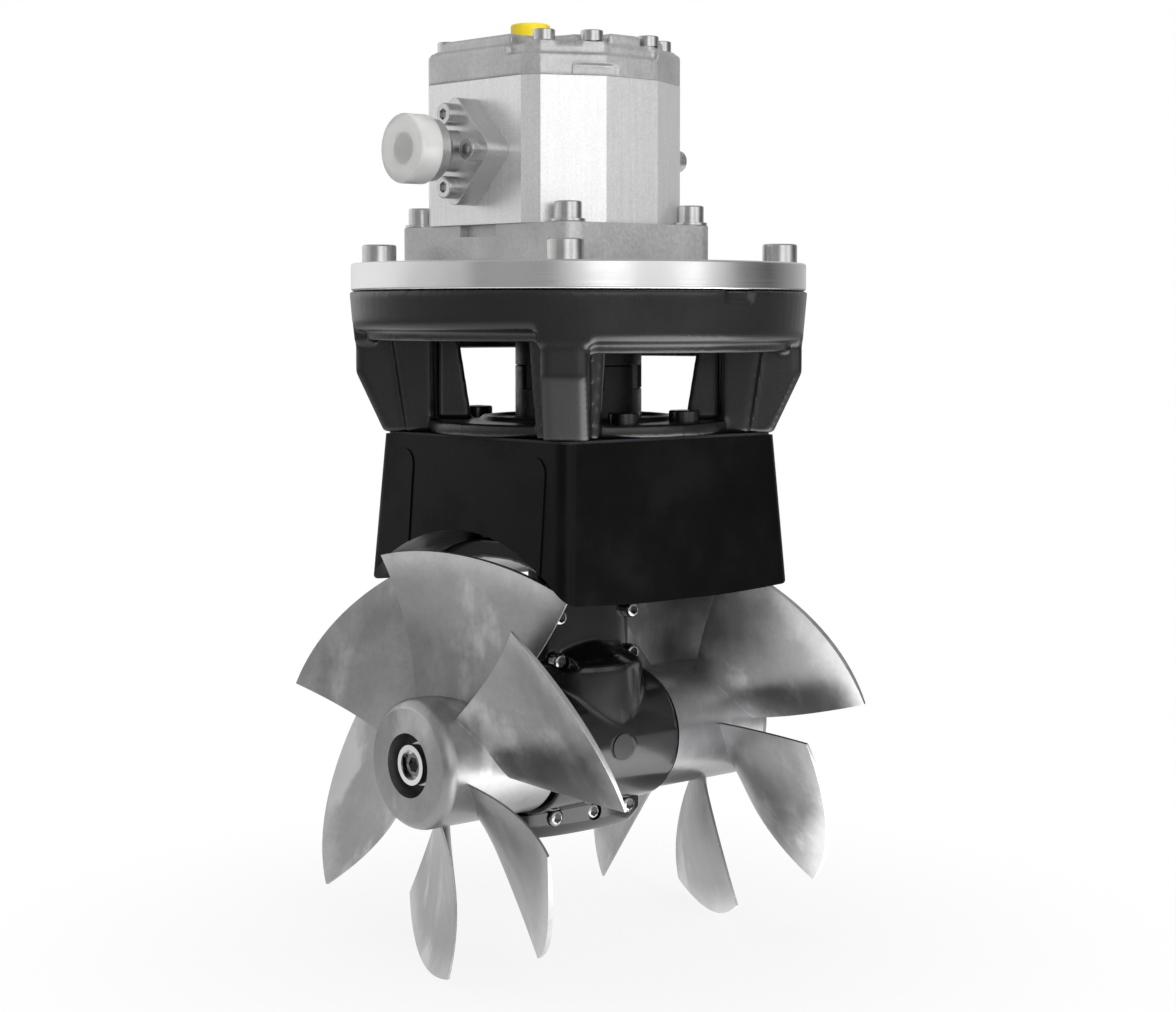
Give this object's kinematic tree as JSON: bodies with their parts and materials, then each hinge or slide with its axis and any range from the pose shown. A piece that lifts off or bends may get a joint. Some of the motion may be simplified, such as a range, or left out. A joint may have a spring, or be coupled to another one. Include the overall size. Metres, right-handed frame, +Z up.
{
  "type": "hydraulic tunnel thruster",
  "caption": "Hydraulic bow thruster: gear motor on a round bracket, tunnel saddle, and a leg with a propeller at each end.",
  "frame": {"origin": "crossing of the tunnel and propeller axis with the vertical drive axis", "axes": "+Z up the drive axis to the motor, -Y along the propeller axis to the front propeller, +X to the side plug of the gear case"},
  "size_m": [0.2716, 0.272, 0.5513],
  "materials": {
    "saddle_black": "matte",
    "gasket_rubber": "matte",
    "bracket_black": "satin",
    "plate_turned": "turned",
    "screw_steel": "satin",
    "motor_flange_cast": "fine cast",
    "motor_body_machined": "matte machined",
    "motor_cover_cast": "fine cast",
    "port_steel": "satin",
    "cap_plastic": "translucent",
    "plug_yellow": "smooth",
    "leg_black": "gloss",
    "propeller_grey": "satin",
    "nut_steel": "satin",
    "inner_steel": "machined",
    "inner_aluminium": "machined",
    "coupling_metal": "satin"
  },
  "bodies": {
    "thruster": {"tunnel_saddle": "saddle_black", "saddle_gasket": "gasket_rubber", "motor_bracket": "bracket_black", "leg_fixing_screws": "screw_steel", "mounting_plate": "plate_turned", "plate_screws": "screw_steel", "motor_front_flange": "motor_flange_cast", "motor_mount_screws": "screw_steel", "motor_shaft_seal": "gasket_rubber", "motor_gear_body": "motor_body_machined", "front_bearing_block": "inner_aluminium", "rear_bearing_block": "inner_aluminium", "motor_rear_cover": "motor_cover_cast", "rear_cover_screws": "screw_steel", "drain_plug": "plug_yellow", "inlet_port_flange": "port_steel", "outlet_port_flange": "port_steel", "inlet_flange_screws": "screw_steel", "outlet_flange_screws": "screw_steel", "leg_housing": "leg_black", "case_plug": "leg_black", "neck_screws": "screw_steel", "skeg_cover": "leg_black", "skeg_screws": "screw_steel", "front_bearing_carrier": "inner_aluminium", "rear_bearing_carrier": "inner_aluminium", "front_prop_bearing": "inner_steel", "rear_prop_bearing": "inner_steel", "front_prop_seal": "gasket_rubber", "rear_prop_seal": "gasket_rubber", "lower_drive_bearing": "inner_steel", "upper_drive_bearing": "inner_steel", "drive_seal": "gasket_rubber"},
    "propellers": {"propeller_shaft": "inner_steel", "bevel_gear": "inner_steel", "front_propeller": "propeller_grey", "rear_propeller": "propeller_grey", "front_hub_bushing": "gasket_rubber", "rear_hub_bushing": "gasket_rubber", "front_propeller_nut": "nut_steel", "rear_propeller_nut": "nut_steel", "drive_pins": "screw_steel"},
    "drive_train": {"drive_shaft": "inner_steel", "bevel_pinion": "inner_steel", "coupling_lower_hub": "coupling_metal", "coupling_spider": "gasket_rubber", "coupling_upper_hub": "coupling_metal", "motor_drive_gear": "inner_steel"},
    "driven_gear": {"motor_driven_gear": "inner_steel"},
    "inlet_cap_body": {"inlet_cap": "cap_plastic"},
    "outlet_cap_body": {"outlet_cap": "cap_plastic"}
  },
  "joints": [
    {"name": "propeller_spin", "type": "hinge", "parent": "thruster", "child": "propellers", "pos_m": [0, 0, 0], "axis": [0, 1, 0], "continuous": true},
    {"name": "drive_spin", "type": "hinge", "parent": "thruster", "child": "drive_train", "pos_m": [0, 0, 0], "axis": [0, 0, 1], "continuous": true},
    {"name": "driven_gear_spin", "type": "hinge", "parent": "thruster", "child": "driven_gear", "pos_m": [-0.044, 0, 0], "axis": [0, 0, 1], "continuous": true},
    {"name": "inlet_cap_slide", "type": "slide", "parent": "thruster", "child": "inlet_cap_body", "axis": [0, -1, 0], "range_m": [0, 0.06]},
    {"name": "outlet_cap_slide", "type": "slide", "parent": "thruster", "child": "outlet_cap_body", "axis": [0, 1, 0], "range_m": [0, 0.06]}
  ],
  "couplings": [
    {"joint": "drive_spin", "follows": "propeller_spin", "ratio": -1.5385},
    {"joint": "driven_gear_spin", "follows": "propeller_spin", "ratio": 1.5385}
  ]
}
